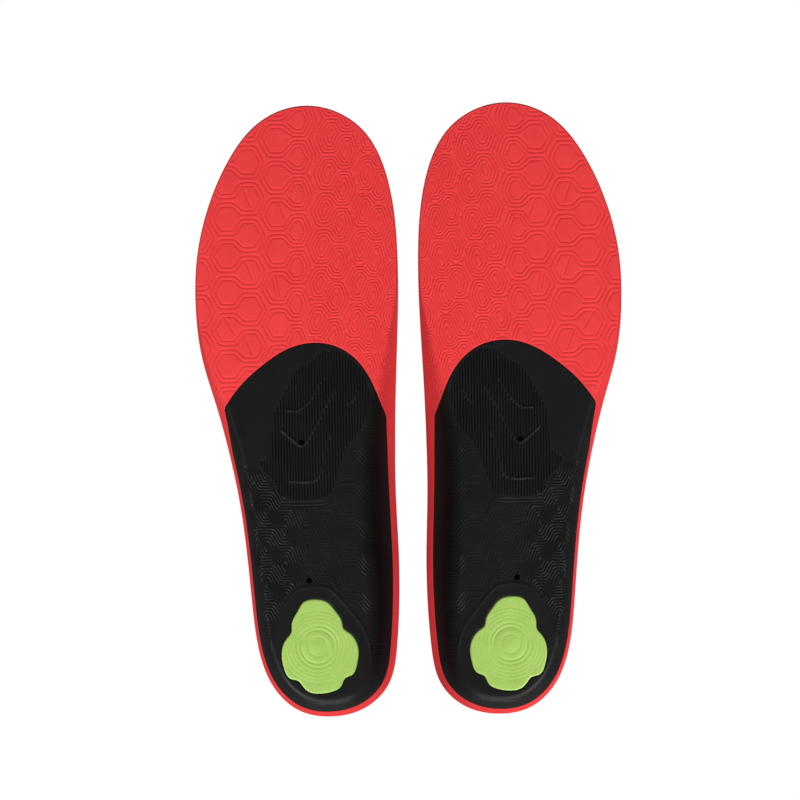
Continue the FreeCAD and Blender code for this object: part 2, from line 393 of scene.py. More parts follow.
class Strokes:
    """Several open lines, which tell how far any place is from the nearest."""

    def __init__(self, lines):
        self.lines = [rounded(line) for line in lines]
        self.tree = tree_along(self.lines)

    def distance(self, places):
        """How far each place is from the nearest line."""
        return distance_to(self.tree, places)


# ---- the insole's edge and the faces of its layers ----

def edge_and_sizes():
    """The insole's edge, and the sizes of its wall at points along it."""
    points, along = smooth_through(EDGE_ROWS[:, :2], EDGE_SPACING)
    rows = np.vstack([EDGE_ROWS, EDGE_ROWS[:1]])
    return Outline(points, along), distances_along(rows[:, :2]), rows[:, 2:]


EDGE, SIZES_AT, SIZE_ROWS = edge_and_sizes()


class Spots:
    """Places in plan, with how far in from the edge they are and the sizes of the wall there."""

    def __init__(self, places):
        self.places = places
        self.x, self.y = places.T
        along, self.inward = EDGE.locate(places)
        self.inward = np.maximum(self.inward, 0.0)
        around = along % SIZES_AT[-1]
        self.rim, self.reach, self.margin = (np.interp(around, SIZES_AT, row) for row in SIZE_ROWS.T)
        self.wall = wall_share(self.rim)


def wall_share(rim):
    """0 where the insole is flat to its edge, 1 where a full wall stands up."""
    return np.clip((rim - FLAT_RIM - 0.2) / 3.0, 0.0, 1.0)


def smooth_step(value, low, high):
    """0 below low, 1 above high, and a smooth rise between."""
    share = np.clip((value - low) / (high - low), 0.0, 1.0)
    return share * share * (3 - 2 * share)


def rounding(share, power=2):
    """1 on an edge, falling to 0 at a share of 1 of the way over its rounding."""
    return np.clip(1 - share, 0.0, 1.0) ** power


def floor_level(y, toe_level, heel_level):
    """The height of a flat floor that rises evenly towards the heel."""
    return toe_level + (heel_level - toe_level) * (INSOLE_LENGTH - y) / INSOLE_LENGTH


def sole_height(spots):
    """The smooth underside, from the flat of the sole up to the rim."""
    floor = floor_level(spots.y, FOAM_TOE, FOAM_HEEL)
    top = floor + (spots.rim - floor) * spots.wall
    return top * rounding(spots.inward / spots.reach, WALL_POWER)


def rim_inset(layer, wall):
    """How far in from the edge a layer's top face meets the rim."""
    return layer.rim_inset * wall + EDGE_STEP * layer.edge_steps * (1 - wall)


def top_height(spots, layer):
    """The top face of a layer, from its flat floor up to the rim."""
    at_rim = rim_inset(layer, spots.wall)
    at_floor = spots.reach + layer.spread
    share = np.clip((at_floor - spots.inward) / (at_floor - at_rim), 0.0, 1.0)
    floor = floor_level(spots.y, layer.toe, layer.heel)
    return floor + (spots.rim - floor) * spots.wall * share ** WALL_POWER


EDGE_SPOTS = Spots(EDGE.points)


# ---- nested hexagons ----

class Honeycomb:
    """Nested hexagons in columns, each pair of columns drawn round one winding line.

    Cells of neighbouring columns are half a pitch apart. The winding line of a
    pair runs round the outer side of a cell of one column, over its top, under
    a cell of the other column, round that one's outer side and back again. The
    grooves lie at even distances on both sides of it.
    """

    CORNER = 0.55

    def __init__(self, columns, pitch, back, front):
        self.columns = columns
        self.pitch = pitch
        rows = range(math.floor((back - COLUMN_Y) / pitch) - 1, math.ceil((front - COLUMN_Y) / pitch) + 2)
        self.waves = [self.winding(first, rows) for first in range(0, len(columns), 2)]
        self.tree = tree_along(self.waves)

    def winding(self, first, rows):
        """The winding line of the pair of columns that starts with the first."""
        phase = self.columns[first][2]
        phase -= self.pitch * round((phase - COLUMN_Y) / self.pitch)
        corners = []
        for row in rows:
            corners += self.side_of(first, phase + self.pitch * row)
            corners += self.side_of(first + 1, phase + self.pitch * (row + 0.5))
        return rounded(cut_corners(corners, self.CORNER), rounds=1)

    def side_of(self, index, near):
        """The winding line's corners round one cell, from below its foot to above its top."""
        x, lean, phase, _, spacing = self.columns[index]
        y = phase + self.pitch * round((near - phase) / self.pitch)
        odd = index % 2
        inner_gap = abs(x - self.columns[index - 1 if odd else index + 1][0])
        beyond = index + 1 if odd else index - 1
        outer_gap = abs(x - self.columns[beyond][0]) if 0 <= beyond < len(self.columns) else inner_gap
        outward = -1 if odd else 1
        slant = math.hypot(outer_gap * OUTER_SLANT_SHARE, self.pitch / 2) / (self.pitch / 2)
        flat = outer_gap * (1 - OUTER_SLANT_SHARE) / 2
        turn = flat + spacing * (2 * outer_gap * OUTER_SLANT_SHARE / self.pitch - slant)
        tip = outer_gap - flat - spacing * slant
        joint = -inner_gap * (1 - SLANT_SHARE) / 2
        half = self.pitch / 2 - spacing
        steps = [(joint, -half), (turn, -half), (tip, 0.0), (turn, half), (joint, half)]
        return [(x + outward * across + lean * (y + up - COLUMN_Y), y + up) for across, up in steps]

    def measure(self, places):
        """How many rings each place is from the nearest winding line, and how many its column has."""
        distance = distance_to(self.tree, places)
        nearest = np.full(len(places), 1e9)
        rings = np.zeros(len(places))
        total = np.zeros(len(places))
        weights = np.zeros(len(places))
        for x, lean, _, count, spacing in self.columns:
            away = np.abs(places[:, 0] - x - lean * (places[:, 1] - COLUMN_Y))
            rings = np.where(away < nearest, count, rings)
            nearest = np.minimum(nearest, away)
            weight = np.exp(-(away / 4.0) ** 2) + 1e-9
            total += weight * spacing
            weights += weight
        return distance * weights / total, rings

    def level(self, places):
        """How many rings each place is from the nearest winding line."""
        return self.measure(places)[0]

    def grooves(self, places):
        """The share of its full depth that the relief has at each place."""
        level, rings = self.measure(places)
        return groove_share(level) * (level < rings)


def cut_corners(corners, size):
    """A line with each corner cut off straight, a little way along both sides."""
    corners = np.array(corners, float)
    points = [corners[0]]
    for before, here, after in zip(corners, corners[1:], corners[2:]):
        for end in (before, after):
            points.append(here + (end - here) * size / np.linalg.norm(end - here))
    return np.array(points + [corners[-1]])


def groove_share(level):
    """1 in each groove, at every half, and near 0 on the ridges between."""
    away = np.abs(level - np.floor(level) - 0.5)
    groove = 0.5 + 0.5 * np.cos(np.pi * np.clip(away / GROOVE_SHARE, 0, 1))
    crown = RIDGE_CROWN * (1 - smooth_step(away, GROOVE_SHARE, 0.5))
    return np.maximum(groove, crown)


def ring_levels(rings):
    """The levels where each ring's groove starts, is deepest and ends, and the ridge after it."""
    shifts = (-GROOVE_SHARE, 0.0, GROOVE_SHARE, 0.5)
    return [ring + 0.5 + shift for ring in range(rings) for shift in shifts]


# ---- the lines that a face's triangles follow ----

def grid(low, high, step):
    """Places on a square grid over a rectangle, in rows."""
    xs = np.arange(low[0], high[0] + step, step)
    ys = np.arange(low[1], high[1] + step, step)
    return np.stack(np.meshgrid(xs, ys), axis=-1)


def grid_triangles(rows, columns):
    """Each square of a grid as two triangles of places."""
    index = np.arange(rows * columns).reshape(rows, columns)
    here, right = index[:-1, :-1].ravel(), index[:-1, 1:].ravel()
    above, across = index[1:, :-1].ravel(), index[1:, 1:].ravel()
    return np.vstack([np.column_stack([here, right, above]), np.column_stack([across, above, right])])


def contours(field, levels, low, high, step):
    """Lines where a field has each of the levels, as places and pairs of places."""
    squares = grid(low, high, step)
    triangles = grid_triangles(*squares.shape[:2])
    spots = squares.reshape(-1, 2)
    values = field(spots)
    found = []
    lines = []
    start = 0
    for level in levels:
        over = values[triangles] > level
        count = over.sum(axis=1)
        mixed = (count == 1) | (count == 2)
        corners = triangles[mixed]
        odd = np.argmax(over[mixed] == (count[mixed] == 1)[:, None], axis=1)
        row = np.arange(len(corners))
        tip = corners[row, odd]
        ends = np.concatenate([corners[row, (odd + 1) % 3], corners[row, (odd + 2) % 3]])
        pairs = np.sort(np.column_stack([np.tile(tip, 2), ends]), axis=1)
        crossed, which = np.unique(pairs, axis=0, return_inverse=True)
        near, far = crossed.T
        share = ((level - values[near]) / (values[far] - values[near]))[:, None]
        places = spots[near] + (spots[far] - spots[near]) * share
        found.append(drawn_onto(field, level, places, step))
        lines.append(which.reshape(2, -1).T + start)
        start += len(places)
    return np.vstack(found), np.vstack(lines)


def drawn_onto(field, level, places, step):
    """Places near a line of one level, moved on to it."""
    shift = 0.1
    value = field(places)
    slope_x = (field(places + (shift, 0.0)) - value) / shift
    slope_y = (field(places + (0.0, shift)) - value) / shift
    slope = np.column_stack([slope_x, slope_y])
    move = slope * ((level - value) / np.maximum((slope ** 2).sum(axis=1), 0.05))[:, None]
    length = np.linalg.norm(move, axis=1)
    return places + move * np.minimum(1.0, 0.3 * step / np.maximum(length, 1e-9))[:, None]


def kept(places, lines, keep):
    """Only the places to keep, and the lines that join two of them."""
    number = np.cumsum(keep) - 1
    both = keep[lines].all(axis=1)
    return places[keep], number[lines[both]]


def line_of(points, closed=False):
    """The places of one line, and its pairs of neighbours."""
    index = np.arange(len(points))
    pairs = np.column_stack([index, np.roll(index, -1)])
    return points, pairs if closed else pairs[:-1]


def beside(line, offset, step):
    """An open line moved sideways."""
    points = evenly(line, step)
    ahead = np.gradient(points, axis=0)
    across = np.column_stack([-ahead[:, 1], ahead[:, 0]]) / np.linalg.norm(ahead, axis=1)[:, None]
    return points + across * offset


def joined(parts):
    """Several sets of places and lines as one set."""
    start = 0
    moved = []
    for places, lines in parts:
        moved.append(lines + start)
        start += len(places)
    return np.vstack([places for places, lines in parts]), np.vstack(moved)


def stroke_parts(strokes, width):
    """Lines along the middle and both sides of each stroke."""
    return [line_of(beside(line, share * width, STROKE_STEP))
            for line in strokes.lines for share in STROKE_SHARES]


def rings_in(border, insets):
    """Closed lines one inside another, from insets in from a border."""
    return [line_of(border.moved_in(inset), True) for inset in insets]


def wall_rings(shares):
    """Closed lines on the outer wall, at shares of the way in to the flat of the sole."""
    return joined(rings_in(EDGE, [EDGE_SPOTS.reach * share for share in shares]))


def comb_lines(comb, most_rings, low, high):
    """The lines of a honeycomb's grooves, and which of their places lie in its rings."""
    waves = [line_of(evenly(wave, 1.0)) for wave in comb.waves]
    grooves = contours(comb.level, ring_levels(most_rings), low, high, RELIEF_GRID)
    places, lines = joined([grooves, *waves])
    level, rings = comb.measure(places)
    return places, lines, level < rings + 0.1


def coarse_places(border, clear, step=COARSE_GRID):
    """A wide grid of places well inside a border, with no lines."""
    places = grid(border.low + clear, border.high, step).reshape(-1, 2)
    return places[border.depth(places) > clear], np.zeros((0, 2), int)


# ---- closed meshes ----

def filled(borders, places, lines):
    """A flat mesh inside the first border and outside the rest, and its border points."""
    start = 0
    loops = []
    for border in borders:
        loop = np.arange(len(border)) + start
        loops.append(loop if signed_area(border) > 0 else loop[::-1])
        start += len(border)
    corners = [Vector(corner) for corner in np.vstack([*borders, places])]
    areas = [loop.tolist() for loop in loops]
    found = delaunay_2d_cdt(corners, (lines + start).tolist(), areas, 0, 1e-5, True)
    points = np.array([tuple(point) for point in found[0]])
    inside = [within == [0] for within in found[5]]
    triangles = np.array(found[2])[inside]
    made_from = {source: index for index, sources in enumerate(found[3]) for source in sources}
    return points, triangles, [[made_from[source] for source in loop] for loop in areas]


def closed_mesh(borders, lower, upper):
    """A solid between two faces, each given as places, lines and a height."""
    points = []
    faces = []
    rims = []
    start = 0
    for places, lines, height in (lower, upper):
        flat, triangles, loops = filled(borders, places, lines)
        points.append(np.column_stack([flat, height(flat)]))
        faces += (triangles + start).tolist()
        rims.append([np.array(loop) + start for loop in loops])
        start += len(flat)
    for below, above in zip(*rims):
        faces += np.column_stack([below, np.roll(below, -1), above]).tolist()
        faces += np.column_stack([np.roll(below, -1), np.roll(above, -1), above]).tolist()
    return np.vstack(points), faces


def tidy_mesh(name, points, faces):
    """A mesh in metres with no loose points and all its faces outwards."""
    mesh = bpy.data.meshes.new(name)
    mesh.from_pydata(points.tolist(), [], faces)
    work = bmesh.new()
    work.from_mesh(mesh)
    bmesh.ops.delete(work, geom=[v for v in work.verts if not v.link_faces], context="VERTS")
    bmesh.ops.recalc_face_normals(work, faces=work.faces)
    work.to_mesh(mesh)
    work.free()
    mesh.shade_smooth()
    mesh.set_sharp_from_angle(angle=SHARP_ANGLE)
    return mesh


def pair_of(name, shape, material):
    """The right and the left piece of one shape, in place in the row frame."""
    points, faces = shape
    pieces = {}
    for side, sign in SIDES.items():
        placed = (points - (0.0, INSOLE_LENGTH / 2, 0.0)) * (sign * MM, MM, MM)
        mesh = tidy_mesh(side + "_" + name, placed, faces)
        mesh.materials.append(material)
        piece = bpy.data.objects.new(side + "_" + name, mesh)
        bpy.context.scene.collection.objects.link(piece)
        pieces[side] = piece
    return pieces


# ---- the outlines of the parts in the sole ----

def shell_outline():
    """The shell's edge: along the insole's edge at a margin, and over the front."""
    ring_points = EDGE.moved_in(EDGE_SPOTS.margin)
    front, along = smooth_through(SHELL_FRONT + [(0.0, 105.0), (97.0, 105.0)], EDGE_SPACING)
    front = front[along <= distances_along(SHELL_FRONT)[-1]]
    front_y = np.interp(ring_points[:, 0], front[::-1, 0], front[::-1, 1])
    behind = ring_points[ring_points[:, 1] < front_y]
    spots = Spots(front)
    ahead = front[spots.inward > spots.margin + 0.4 * EDGE_SPACING]
    return Outline(evenly(np.vstack([behind, ahead[::-1]]), EDGE_SPACING, closed=True))


def circle(centre, diameter, count=32):
    """The points of a circle."""
    angles = 2 * np.pi * np.arange(count) / count
    return np.array(centre) + np.column_stack([np.cos(angles), np.sin(angles)]) * diameter / 2


SHELL = shell_outline()
PAD = Outline(smooth_through(PAD_EDGE, 0.6)[0])
WINDOW = Outline(PAD.moved_in(-WINDOW_GAP))
DIMPLES = [Outline(circle(centre, DIMPLE_DIAMETER)) for centre in DIMPLE_CENTRES]


# ---- the foam base ----

FOREFOOT = Honeycomb(FOREFOOT_COLUMNS, CELL_PITCH, 128.0, 292.0)
SLASH_STROKES = Strokes(SLASHES)


def foam_relief_fade(spots):
    """1 where the foam has its full relief, 0 on its walls and beside the shell."""
    inner = smooth_step(spots.inward, 0.3 * spots.reach + 0.35, 0.3 * spots.reach + 1.0)
    return inner * smooth_step(spots.y, FOAM_RELIEF_BACK, FOAM_RELIEF_BACK + 12.0)


def foam_underside(places):
    """The foam's underside, with its relief and the hollows for shell and pad."""
    spots = Spots(places)
    base = np.minimum(sole_height(spots), foam_top(places) - LEAST_FOAM)
    slash = smooth_step(SLASH_STROKES.distance(places), 0.0, SLASH_WIDTH)
    grooves = np.maximum(FOREFOOT.grooves(places), 1 - slash)
    height = base + FOAM_GROOVE_DEPTH * grooves * foam_relief_fade(spots)
    under_shell = SHELL.depth(places)
    height += FOAM_LIP * rounding(-under_shell / FOAM_LIP_WIDTH)
    height = np.where(under_shell > 0, base + SHELL_THICKNESS + SHELL_SETBACK, height)
    return np.where(PAD.depth(places) > 0, PAD_SETBACK + PAD_THICKNESS, height)


def foam_lines():
    """The lines of the foam's underside."""
    back = (EDGE.low[0], FOAM_RELIEF_BACK)
    places, lines, keep = comb_lines(FOREFOOT, 4, back, EDGE.high)
    spots = Spots(places)
    keep &= (foam_relief_fade(spots) > 0) & (SHELL.depth(places) < -0.7)
    keep &= spots.inward > np.minimum(spots.reach, 1.2) + 0.3
    cliffs = rings_in(SHELL, (-FOAM_LIP_WIDTH, -0.3, -0.15, -CLIFF, CLIFF))
    cliffs += rings_in(PAD, (-CLIFF, CLIFF))
    return joined([kept(places, lines, keep), wall_rings(FOAM_WALL_SHARES), *cliffs,
                   *stroke_parts(SLASH_STROKES, SLASH_WIDTH), coarse_places(EDGE, 3.0)])


def upper_lines(outer):
    """The lines of a layer's hollow top, from its own edge inwards."""
    inner = EDGE_SPOTS.reach + 3.0
    rings = rings_in(EDGE, [outer + (inner - outer) * share for share in TOP_SHARES])
    return joined([*rings, coarse_places(EDGE, 19.0)])


def rounded_top(spots, layer, outer):
    """The top face of a layer, lowered close to its own edge to round it off."""
    inward = (spots.inward - outer) / layer.round_width
    return top_height(spots, layer) - layer.round_drop * rounding(inward)


def foam_top(places):
    """The foam's hollow top."""
    return rounded_top(Spots(places), FOAM_TOP, 0.0)


def foam_base():
    """The moulded foam base."""
    return closed_mesh([EDGE.points], (*foam_lines(), foam_underside), (*upper_lines(0.0), foam_top))


# ---- the arch shell ----

SHELL_CELLS = Honeycomb(SHELL_COLUMNS, SHELL_COLUMN_PITCH, 0.0, 145.0)
RIBBED, HEEL_RIBBED, LEVEL_HEEL = [Outline(evenly(rounded(area, closed=True), 0.5, closed=True))
                                   for area in (RIB_AREA, HEEL_RIB_AREA, HEEL_AREA)]
RAISED_STROKES = Strokes(RAISED_LINES)
GROOVE_STROKES = Strokes(SHELL_GROOVES)


def shell_edge_fade(places):
    """0 on the shell's own edge and round its window, 1 a little way in."""
    return smooth_step(SHELL.depth(places), 0.7, 1.5) * smooth_step(-WINDOW.depth(places), 0.6, 1.2)


def cell_strength(places):
    """How deep the hexagons are: most at both sides, less in the middle, none elsewhere."""
    x, y = places.T
    sides = np.maximum(smooth_step(x, *OUTER_FADE), 0.6 - 0.6 * smooth_step(x, *INNER_FADE))
    fade = np.where(x > FRONT_DIVIDE, smooth_step(y, *OUTER_FRONT_FADE), smooth_step(y, *INNER_FRONT_FADE))
    clear = smooth_step(-RIBBED.depth(places), 0.4, 0.8) * smooth_step(-LEVEL_HEEL.depth(places), 0.6, 1.0)
    return np.maximum(sides, FAINT) * (1 - fade) * clear


def rib_strength(places):
    """1 in the ribbed areas and 0 outside them."""
    area = smooth_step(RIBBED.depth(places), 0.0, 0.5)
    return np.maximum(area, 0.5 * smooth_step(HEEL_RIBBED.depth(places), 0.0, 0.5))


def shell_underside(places):
    """The shell's underside, with its hexagons, ribs and raised lines."""
    spots = Spots(places)
    cells = SHELL_GROOVE_DEPTH * SHELL_CELLS.grooves(places) * cell_strength(places)
    ribs = RIB_DEPTH * groove_share(places[:, 0] / RIB_PITCH) * rib_strength(places)
    cuts = CUT_DEPTH * (1 - smooth_step(GROOVE_STROKES.distance(places), 0.0, LINE_WIDTH / 2))
    raised = 1 - smooth_step(RAISED_STROKES.distance(places), 0.3, LINE_WIDTH / 2 + 0.2)
    relief = np.maximum(np.maximum(cells, ribs), cuts) * (1 - raised) - SHELL_SETBACK * raised
    edge = SHELL_EDGE * rounding(SHELL.depth(places) / SHELL_EDGE_WIDTH)
    lip = WINDOW_LIP * rounding(-WINDOW.depth(places) / WINDOW_LIP_WIDTH, 1.5)
    height = sole_height(spots) + SHELL_SETBACK + relief * shell_edge_fade(places) + edge + lip
    for dimple in DIMPLES:
        hollow = smooth_step(dimple.depth(places), -0.15, 0.1)
        height += (SHELL_SETBACK + DIMPLE_DEPTH - height) * hollow
    return height


def shell_inside(places):
    """The shell's hidden side, against the foam."""
    return sole_height(Spots(places)) + SHELL_THICKNESS + SHELL_SETBACK - LAYER_GAP


def shell_lines():
    """The lines of the shell's underside."""
    low, high = SHELL.low, SHELL.high
    places, lines, keep = comb_lines(SHELL_CELLS, 5, low, high)
    keep &= (cell_strength(places) > 0.02) & in_open_shell(places)
    ribs = joined([line_of(evenly([(x, low[1]), (x, high[1])], 1.0)) for x in rib_lines(low, high)])
    ribbed = np.maximum(RIBBED.depth(ribs[0]), HEEL_RIBBED.depth(ribs[0])) > 0
    steps = rings_in(RIBBED, (-1.6, -0.8, -0.3, 0.0, 0.5))
    steps += rings_in(HEEL_RIBBED, (-0.8, -0.3, 0.0, 0.5))
    steps += stroke_parts(RAISED_STROKES, LINE_WIDTH)
    steps += stroke_parts(GROOVE_STROKES, LINE_WIDTH / 2)
    edges = rings_in(SHELL, (0.25, 0.5, 0.8)) + rings_in(WINDOW, (-0.15, -0.3, -0.45, -0.6))
    for dimple in DIMPLES:
        edges += rings_in(dimple, (-0.3, -0.15, -0.05, 0.1, 0.3))
    return joined([kept(places, lines, keep), kept(*ribs, ribbed & in_open_shell(ribs[0])),
                   open_part(joined(steps)), open_part(wall_rings(SHELL_WALL_SHARES)), *edges,
                   open_part(coarse_places(SHELL, 1.5, 2.5))])


def in_open_shell(places):
    """True well inside the shell's edge and clear of window and dimples."""
    clear = (SHELL.depth(places) > 1.0) & (WINDOW.depth(places) < -0.6)
    for dimple in DIMPLES:
        clear &= dimple.depth(places) < -0.4
    return clear


def open_part(part):
    """What of some places and lines lies well inside the open shell."""
    return kept(*part, in_open_shell(part[0]))


def rib_lines(low, high):
    """Where the grooves between ribs start, are deepest and end, and the ribs' middles."""
    counts = np.arange(math.floor(low[0] / RIB_PITCH), math.ceil(high[0] / RIB_PITCH))
    shifts = (0.5 - GROOVE_SHARE, 0.5, 0.5 + GROOVE_SHARE, 1.0)
    return [(count + shift) * RIB_PITCH for count in counts for shift in shifts]


def arch_shell():
    """The thin hard shell under the arch and heel."""
    inner = open_part(joined([wall_rings(SHELL_WALL_SHARES), coarse_places(SHELL, 20.0)]))
    under = (*shell_lines(), shell_underside)
    return closed_mesh([SHELL.points, WINDOW.points], under, (*inner, shell_inside))


# ---- the heel pad and the upper layers ----

def pad_underside(places):
    """The pad's underside, with its rings and its rounded edge."""
    radius = np.linalg.norm(places - PAD_RINGS_CENTRE, axis=1)
    depth = PAD.depth(places)
    rings = np.zeros(len(places))
    for middle, strength in PAD_RINGS:
        away = np.abs(radius - middle)
        rings = np.maximum(rings, strength * (1 - smooth_step(away, 0.0, PAD_RING_WIDTH)))
    edge = PAD_EDGE_DROP * rounding(depth / PAD_EDGE_WIDTH)
    return PAD_SETBACK + rings * smooth_step(depth, PAD_FLAT_EDGE, PAD_FLAT_EDGE + 1.0) + edge


def pad_top(places):
    """The pad's hidden top, rounded off at its edge."""
    return PAD_SETBACK + PAD_THICKNESS - LAYER_GAP - 0.3 * rounding(PAD.depth(places) / 0.4)


def heel_pad():
    """The soft pad in the heel."""
    shifts = [share * PAD_RING_WIDTH for share in (-1.0, -0.5, 0.0, 0.5, 1.0)]
    sizes = sorted(middle + shift for middle, _ in PAD_RINGS for shift in shifts)
    circles = joined([line_of(circle(PAD_RINGS_CENTRE, 2 * size, 96), True) for size in sizes])
    grooves = kept(*circles, PAD.depth(circles[0]) > PAD_FLAT_EDGE)
    edge = rings_in(PAD, (0.1, 0.22, 0.38, 0.6, 0.9))
    over = (*joined(rings_in(PAD, (0.15, 0.4))), pad_top)
    return closed_mesh([PAD.points], (*joined([grooves, *edge]), pad_underside), over)


def layer(below, above):
    """A soft layer that fills the space between two top faces."""
    outer = rim_inset(below, EDGE_SPOTS.wall)
    lines = upper_lines(outer)

    def lower(places):
        return top_height(Spots(places), below) + LAYER_GAP

    def upper(places):
        spots = Spots(places)
        top = rounded_top(spots, above, rim_inset(below, spots.wall))
        return np.maximum(top, top_height(spots, below) + LEAST_LAYER)

    return closed_mesh([EDGE.moved_in(outer)], (*lines, lower), (*lines, upper))


# ---- materials ----

def new_material(name):
    """A material, its nodes and shader, and the object's own coordinates in metres."""
    material = bpy.data.materials.new(name)
    material.use_nodes = True
    tree = material.node_tree
    place = tree.nodes.new("ShaderNodeTexCoord").outputs["Object"]
    return material, tree, tree.nodes["Principled BSDF"], place


def feed(tree, node, inputs):
    """Sets a node's inputs to numbers or links them to outputs."""
    for key, value in inputs.items():
        if isinstance(value, bpy.types.NodeSocket):
            tree.links.new(value, node.inputs[key])
        else:
            node.inputs[key].default_value = value


def linked(tree, kind, inputs, **settings):
    """A new shader node with its settings and inputs."""
    node = tree.nodes.new("ShaderNode" + kind)
    for key, value in settings.items():
        setattr(node, key, value)
    feed(tree, node, inputs)
    return node


def noise(tree, place, scale, detail=2.0):
    """The grey value of a noise texture."""
    inputs = {"Vector": place, "Scale": scale, "Detail": detail}
    return linked(tree, "TexNoise", inputs).outputs["Fac"]


def spread(tree, value, low, high):
    """A value from 0 to 1 stretched between two others."""
    inputs = {"Value": value, "From Min": 0.3, "From Max": 0.7, "To Min": low, "To Max": high}
    return linked(tree, "MapRange", inputs).outputs["Result"]


def blended(tree, share, first, second):
    """A colour between two others."""
    inputs = {0: share, 6: (*first, 1.0), 7: (*second, 1.0)}
    return linked(tree, "Mix", inputs, data_type="RGBA").outputs[2]


def bumped(tree, height, depth):
    """The normals of a fine relief, from a height of 0 to 1 and a depth in metres."""
    inputs = {"Height": height, "Strength": 1.0, "Distance": depth}
    return linked(tree, "Bump", inputs).outputs["Normal"]


def red_foam():
    """Moulded foam with a dull skin, slightly mottled."""
    material, tree, shader, place = new_material("red moulded foam")
    mottle = spread(tree, noise(tree, place, 90.0, 4.0), 0.0, 1.0)
    skin = noise(tree, place, 2600.0, 3.0)
    feed(tree, shader, {
        "Base Color": blended(tree, mottle, (0.80, 0.055, 0.058), (0.75, 0.049, 0.052)),
        "Roughness": spread(tree, skin, 0.50, 0.66),
        "Normal": bumped(tree, skin, 0.00004),
        "Specular IOR Level": 0.0,
    })
    return material


def black_shell():
    """Hard satin plastic with a faint grain."""
    material, tree, shader, place = new_material("black satin plastic")
    cloud = spread(tree, noise(tree, place, 60.0, 3.0), 0.0, 1.0)
    grain = noise(tree, place, 3400.0)
    black = blended(tree, cloud, (0.0062, 0.0062, 0.0066), (0.0088, 0.0088, 0.0093))
    feed(tree, shader, {
        "Base Color": black,
        "Roughness": spread(tree, grain, 0.42, 0.54),
        "Normal": bumped(tree, grain, 0.00002),
        "Specular IOR Level": 0.15,
    })
    return material


def dimple_painted_shade():
    """A near-black matte that paints the shade inside the shell's dimples."""
    material, tree, shader, _ = new_material("painted shade black")
    feed(tree, shader, {
        "Base Color": (0.001, 0.001, 0.001, 1.0),
        "Roughness": 0.9,
        "Specular IOR Level": 0.0,
    })
    return material


def paint_dimple_shade(piece):
    """Gives the faces in the shell's dimples the near-black matte that paints their shade."""
    piece.data.materials.append(dimple_painted_shade())
    middles = np.array([(abs(face.center.x), face.center.y) for face in piece.data.polygons]) / MM
    middles += (0.0, INSOLE_LENGTH / 2)
    under = np.array([face.normal.z < 0.1 for face in piece.data.polygons])
    # Painted shade: the dimples' faces take the near-black matte in place of the shadow in the hollows.
    for dimple in DIMPLES:
        for index in np.flatnonzero(under & (dimple.depth(middles) > -0.15)):
            piece.data.polygons[index].material_index = 1


def green_gel():
    """Soft rubbery gel with a smooth skin."""
    material, tree, shader, place = new_material("green gel")
    cloud = spread(tree, noise(tree, place, 120.0, 3.0), 0.0, 1.0)
    skin = noise(tree, place, 1900.0)
    feed(tree, shader, {
        "Base Color": blended(tree, cloud, (0.378, 0.577, 0.128), (0.344, 0.533, 0.111)),
        "Roughness": spread(tree, skin, 0.36, 0.48),
        "Normal": bumped(tree, skin, 0.00002),
        "Subsurface Weight": 0.15,
        "Subsurface Radius": (0.002, 0.003, 0.001),
    })
    return material


def grey_cushion():
    """Open foam, with small pores that are pressed in and painted darker: painted shade in the pores."""
    material, tree, shader, place = new_material("grey open foam")
    cells = linked(tree, "TexVoronoi", {"Vector": place, "Scale": 2200.0})
    pore_depth_and_shade = cells.outputs["Distance"]
    # The grey darkens towards each pore's middle, where the bump is lowest: painted shade in the pores.
    feed(tree, shader, {
        "Base Color": blended(tree, pore_depth_and_shade, (0.035, 0.036, 0.040), (0.105, 0.107, 0.115)),
        "Normal": bumped(tree, pore_depth_and_shade, 0.00025),
        "Roughness": 0.9,
    })
    return material


def knitted_bands(tree, place, direction, pitch):
    """Even bands across one direction, for the yarns of a knit."""
    scale = math.pi / 10 / pitch
    return linked(tree, "TexWave", {"Vector": place, "Scale": scale, "Distortion": 0.0},
                  wave_type="BANDS", bands_direction=direction, wave_profile="SIN").outputs["Fac"]


def black_fabric():
    """A fine black knit with a soft sheen."""
    material, tree, shader, place = new_material("black knitted fabric")
    wales = knitted_bands(tree, place, "X", 0.00075)
    courses = knitted_bands(tree, place, "Y", 0.0006)
    heather = noise(tree, place, 700.0, 3.0)
    stitches = linked(tree, "Math", {0: wales, 1: courses}, operation="MULTIPLY")
    height = linked(tree, "Math", {0: heather, 1: 0.35, 2: stitches.outputs[0]},
                    operation="MULTIPLY_ADD")
    feed(tree, shader, {
        "Base Color": blended(tree, heather, (0.008, 0.008, 0.010), (0.026, 0.027, 0.030)),
        "Normal": bumped(tree, height.outputs[0], 0.00008),
        "Roughness": 0.92,
        "Specular IOR Level": 0.2,
        "Sheen Weight": 0.06,
        "Sheen Roughness": 0.5,
    })
    return material


# ---- the assembly ----


def bend_layer(side, piece, node):
    """Makes a piece stand for both halves of a layer: hides the two halves and bakes the piece's place."""
    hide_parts(side + "_" + node + "_rear", side + "_" + node + "_front")
    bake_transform(piece)


